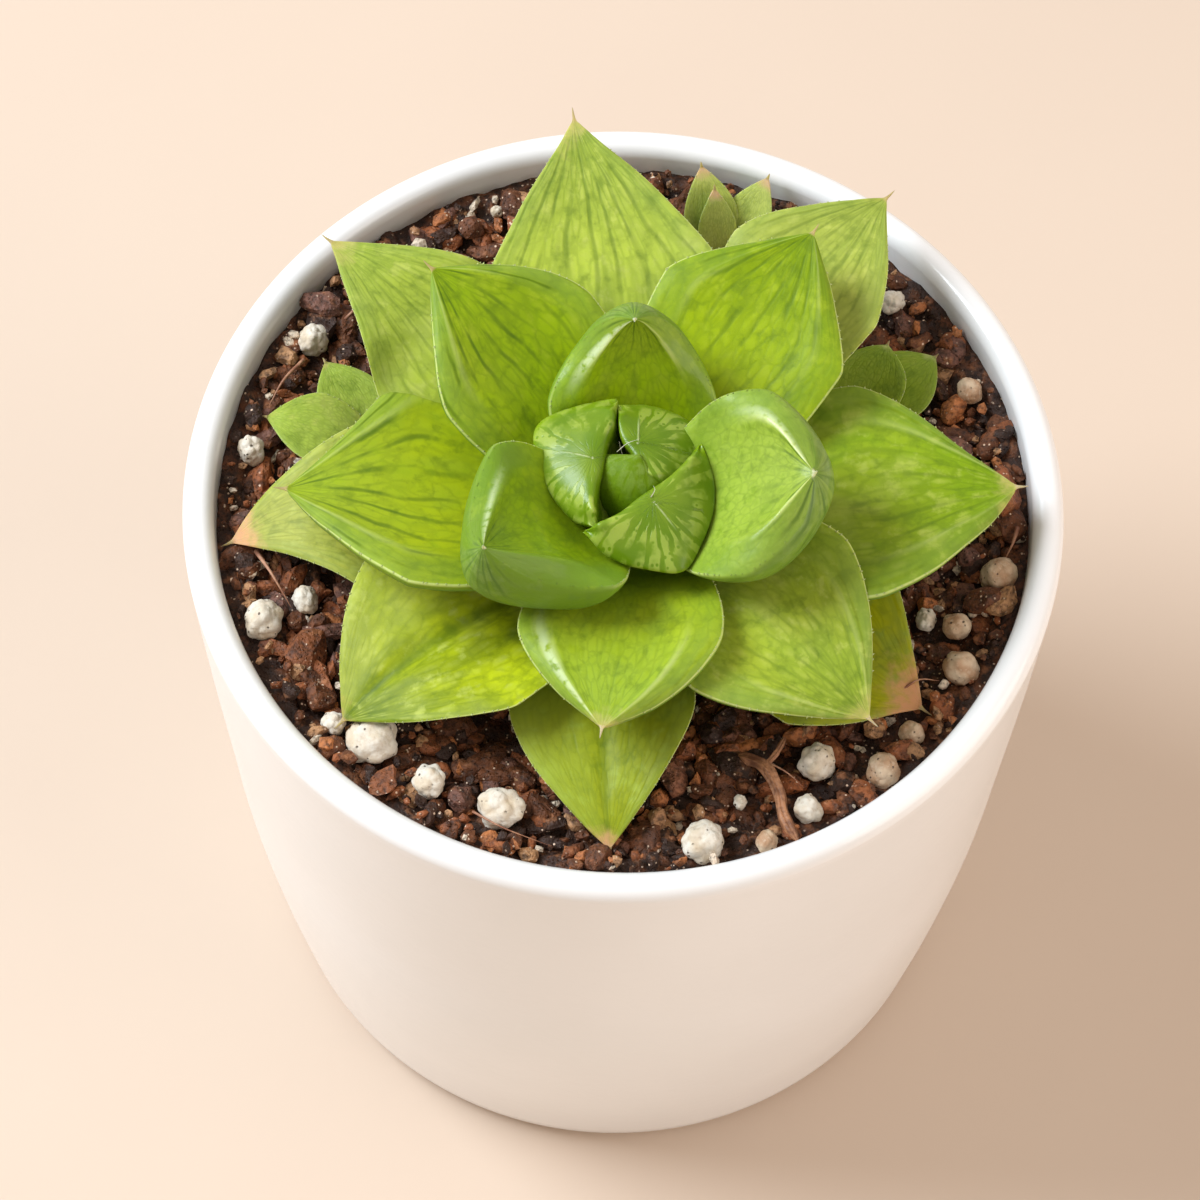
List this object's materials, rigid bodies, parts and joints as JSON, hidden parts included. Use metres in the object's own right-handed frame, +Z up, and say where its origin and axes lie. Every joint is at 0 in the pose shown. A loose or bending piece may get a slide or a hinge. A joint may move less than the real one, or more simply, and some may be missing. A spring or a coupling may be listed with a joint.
{
  "type": "potted haworthia",
  "caption": "Rosette succulent with plump pointed leaves and a windowed heart, young offsets round it, in gritty soil with perlite, in a round white glazed pot.",
  "frame": {"origin": "centre of the pot's underside, at the level of its foot ring", "axes": "+Z up along the pot's axis; +X to the right and -Y to the front, as the picture shows the plant"},
  "size_m": [0.1, 0.1, 0.1142],
  "materials": {
    "pot": "white satin-gloss glaze, smooth, with a rounded lip",
    "soil": "dark brown gritty potting mix, moist crumbs and bark chips",
    "stem": "short green-brown stem, mostly hidden by the leaves",
    "bark": "dry reddish bark twig, matt and ridged",
    "perlite": "matt white lumpy perlite with fine dark specks",
    "pumice": "matt tan lumpy pumice",
    "heart_leaf": "glossy dark green heart leaves with pale windowed patches",
    "upper_leaf": "waxy green leaves, bluer on their backs, satin gloss",
    "middle_leaf": "waxy yellow-green leaves with dark veins that meet at the tip",
    "lower_leaf": "waxy pale yellow-green leaves with faint veins, some tips pink",
    "offset_leaf": "small pale green leaves of the young offsets, satin"
  },
  "bodies": {
    "root": {"back_offset_leaf_1": "offset_leaf", "back_offset_leaf_2": "offset_leaf", "back_offset_leaf_3": "offset_leaf", "bark_twig": "bark", "heart_leaf_1": "heart_leaf", "heart_leaf_2": "heart_leaf", "heart_leaf_3": "heart_leaf", "innermost_leaf_1": "heart_leaf", "innermost_leaf_2": "heart_leaf", "left_offset_leaf_1": "offset_leaf", "left_offset_leaf_2": "offset_leaf", "lower_leaf_1": "lower_leaf", "lower_leaf_2": "lower_leaf", "lower_leaf_3": "lower_leaf", "lower_leaf_4": "lower_leaf", "lower_leaf_5": "lower_leaf", "lower_leaf_6": "lower_leaf", "lower_leaf_7": "lower_leaf", "middle_leaf_1": "middle_leaf", "middle_leaf_2": "middle_leaf", "middle_leaf_3": "middle_leaf", "middle_leaf_4": "middle_leaf", "middle_leaf_5": "middle_leaf", "middle_leaf_6": "middle_leaf", "perlite_grain_1": "perlite", "perlite_grain_10": "perlite", "perlite_grain_14": "perlite", "perlite_grain_16": "perlite", "perlite_grain_17": "perlite", "perlite_grain_18": "perlite", "perlite_grain_19": "perlite", "perlite_grain_2": "perlite", "perlite_grain_3": "perlite", "perlite_grain_4": "perlite", "perlite_grain_5": "perlite", "perlite_grain_6": "perlite", "perlite_grain_7": "perlite", "perlite_grain_8": "perlite", "perlite_grain_9": "perlite", "pot": "pot", "pumice_grain_11": "pumice", "pumice_grain_12": "pumice", "pumice_grain_13": "pumice", "pumice_grain_15": "pumice", "pumice_grain_20": "pumice", "pumice_grain_21": "pumice", "pumice_grain_22": "pumice", "right_offset_leaf_1": "offset_leaf", "right_offset_leaf_2": "offset_leaf", "soil": "soil", "stem": "stem", "upper_leaf_1": "upper_leaf", "upper_leaf_2": "upper_leaf", "upper_leaf_3": "upper_leaf"}
  },
  "joints": []
}
